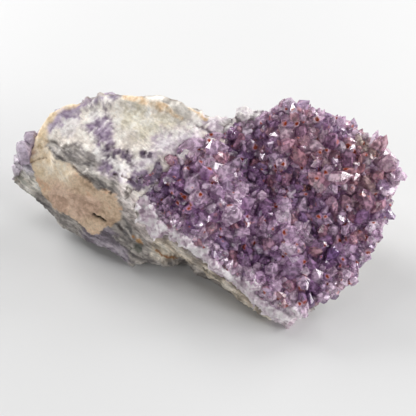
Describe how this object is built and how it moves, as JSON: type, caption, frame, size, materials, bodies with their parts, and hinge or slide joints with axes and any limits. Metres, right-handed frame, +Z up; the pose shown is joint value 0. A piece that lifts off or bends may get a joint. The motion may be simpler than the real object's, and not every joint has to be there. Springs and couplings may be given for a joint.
{
  "type": "amethyst specimen",
  "caption": "Hand-sized stone of vein quartz and buff host rock with a sparkling amethyst druse over one end and a paler crust behind, resting on a flat face.",
  "frame": {"origin": "on the flat resting face, near the middle of the stone's length", "axes": "+X along the stone's length towards the druse, +Z up from the flat resting face"},
  "size_m": [0.1312, 0.0705, 0.0497],
  "materials": {
    "matrix_rock": "rough broken vein quartz and buff host rock",
    "amethyst_druse": "clear to cloudy purple quartz points with natural flat faces",
    "amethyst_back_crust": "pale cloudy lavender quartz points"
  },
  "bodies": {
    "root": {"matrix_rock": "matrix_rock", "amethyst_druse": "amethyst_druse", "amethyst_back_crust": "amethyst_back_crust"}
  },
  "joints": []
}
